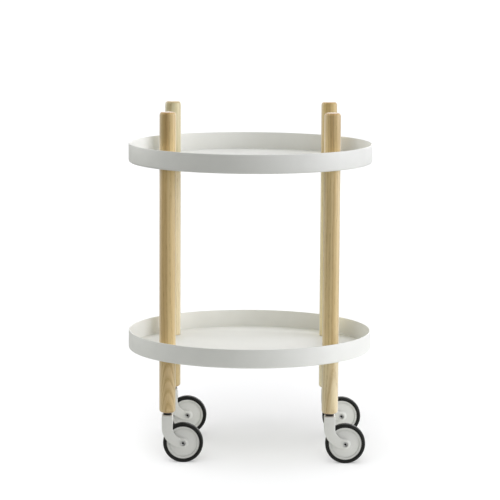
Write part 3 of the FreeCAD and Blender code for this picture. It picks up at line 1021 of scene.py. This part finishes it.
# azimuth is the side that the light comes from, counter-clockwise from +X; spread is its angle in the sky
floorSuns = {
    "floorRear": {"azimuth": 100, "elevation": 55, "spread": 80, "power": 1.37, "tint": plain},
    "floorFront": {"azimuth": 258, "elevation": 50, "spread": 80, "power": 1.84, "tint": plain},
    "floorFrontLow": {"azimuth": 270, "elevation": 35, "spread": 30, "power": 0.75, "tint": plain},
}
trolleySuns = {
    "keyLow": {"azimuth": 0, "elevation": 8, "spread": 40, "power": 1.88, "tint": cool},
    "keyHigh": {"azimuth": 0, "elevation": 55, "spread": 40, "power": 0.67, "tint": cool},
    "rearRight": {"azimuth": 70, "elevation": 8, "spread": 40, "power": 1.25, "tint": rosy},
    "rearHigh": {"azimuth": 90, "elevation": 55, "spread": 40, "power": 0.73, "tint": rosy},
    "rearLeft": {"azimuth": 150, "elevation": 8, "spread": 46, "power": 1.34, "tint": warm},
    "leftHigh": {"azimuth": 180, "elevation": 55, "spread": 40, "power": 0.57, "tint": warm},
    "front": {"azimuth": 290, "elevation": 8, "spread": 40, "power": 0.63, "tint": warm},
}
rearCastorSuns = {
    "frontFill": {"azimuth": 305, "elevation": 10, "spread": 30, "power": 0.42, "tint": (1.0, 1.0, 0.99)},
}


# What the lens sees apart from what every other ray meets
def splitByLens(tree, kind, thrown, seen):
    path = addNode(tree, "ShaderNodeLightPath", (120, 400))
    inputs = {"Fac": path.outputs["Is Camera Ray"], 1: thrown, 2: seen}
    either = addNode(tree, "ShaderNodeMixShader", (320, 50), None, inputs)
    addNode(tree, kind, (520, 50), None, {"Surface": either.outputs[0]})


# The lens sees a white floor; the light that it throws back onto the trolley fades away from the middle
def makeFloor():
    deselectAll()
    bpy.ops.mesh.primitive_plane_add(size=studio["floorSize"], location=(0, 0, 0))
    floor = bpy.context.active_object
    floor.name = "floor"
    paint, tree, place = newMaterial("paleFloor")
    reach = addVectorMath(tree, (-700, -100), "DISTANCE", place["Object"], studio["bounceMiddle"])
    fade = addRange(tree, (-500, -100), reach, studio["bounceReach"], (1, 0))
    tone = mixColors(tree, (-300, -100), fade, (*studio["bounceFar"], 1), (*studio["bounceNear"], 1))
    thrown = addNode(tree, "ShaderNodeBsdfDiffuse", (-80, -100), None, {"Color": tone})
    seen = addNode(tree, "ShaderNodeBsdfDiffuse", (-80, 100), None, {"Color": (*studio["floorShade"], 1)})
    lift = addNode(tree, "ShaderNodeEmission", (-80, 250), None, {"Strength": studio["floorLift"]})
    bright = addNode(tree, "ShaderNodeAddShader", (120, 150), None, {0: seen.outputs[0], 1: lift.outputs[0]})
    splitByLens(tree, "ShaderNodeOutputMaterial", thrown.outputs[0], bright.outputs[0])
    dress(floor, paint)
    return floor


floor = makeFloor()

world = bpy.data.worlds.new("studioWorld")
bpy.context.scene.world = world
world.use_nodes = True
sky = world.node_tree
sky.nodes.clear()
white = (*grey(1), 1)
seen = addNode(sky, "ShaderNodeBackground", (-80, 100), None, {"Color": white, "Strength": 1})
lit = addNode(sky, "ShaderNodeBackground", (-80, -100), None, {"Color": white, "Strength": studio["ambient"]})
splitByLens(sky, "ShaderNodeOutputWorld", lit.outputs[0], seen.outputs[0])


# Some suns reach only the things named, or pass them by: the floor is lit apart from the trolley
def addSuns(suns, things, state):
    reached = bpy.data.collections.new(things[0].name + "_" + state.lower())
    for thing in things:
        reached.objects.link(thing)
    for entry in reached.collection_objects:
        entry.light_linking.link_state = state
    for name, sun in suns.items():
        around, up = math.radians(sun["azimuth"]), math.radians(sun["elevation"])
        toward = Vector((math.cos(around) * math.cos(up), math.sin(around) * math.cos(up), math.sin(up)))
        deselectAll()
        bpy.ops.object.light_add(type="SUN", location=toward * studio["sunDistance"])
        lamp = bpy.context.active_object
        lamp.name = name
        lamp.rotation_euler = toward.to_track_quat("Z", "Y").to_euler()
        lamp.data.energy = sun["power"]
        lamp.data.angle = math.radians(sun["spread"])
        lamp.data.color = sun["tint"]
        lamp.light_linking.receiver_collection = reached


rearNames = ("wheel_moulded_rear", "fork_cast_rear")
rearCastors = [thing for thing in bpy.data.objects if thing.name.startswith(rearNames)]
addSuns(trolleySuns, [floor], "EXCLUDE")
addSuns(floorSuns, [floor], "INCLUDE")
addSuns(rearCastorSuns, rearCastors, "INCLUDE")

cameraSet = {
    "lens": 182.2,
    "sensor": 36,
    "clipEnd": 200,
    "place": (0.0302, -4.6547, 1.0114),
    "turn": 0.37,
    "tilt": 82.2,
    "roll": 0.33,
}
deselectAll()
bpy.ops.object.camera_add(location=cameraSet["place"])
camera = bpy.context.active_object
camera.name = "camera"
camera.data.lens = cameraSet["lens"]
camera.data.sensor_width = cameraSet["sensor"]
camera.data.clip_end = cameraSet["clipEnd"]
camera.matrix_world = (
    Matrix.Translation(cameraSet["place"])
    @ Matrix.Rotation(math.radians(cameraSet["turn"]), 4, "Z")
    @ Matrix.Rotation(math.radians(cameraSet["tilt"]), 4, "X")
    @ Matrix.Rotation(math.radians(cameraSet["roll"]), 4, "Z")
)
bpy.context.scene.camera = camera
bpy.context.scene.view_settings.view_transform = "Standard"
print("stage, lights and camera placed")
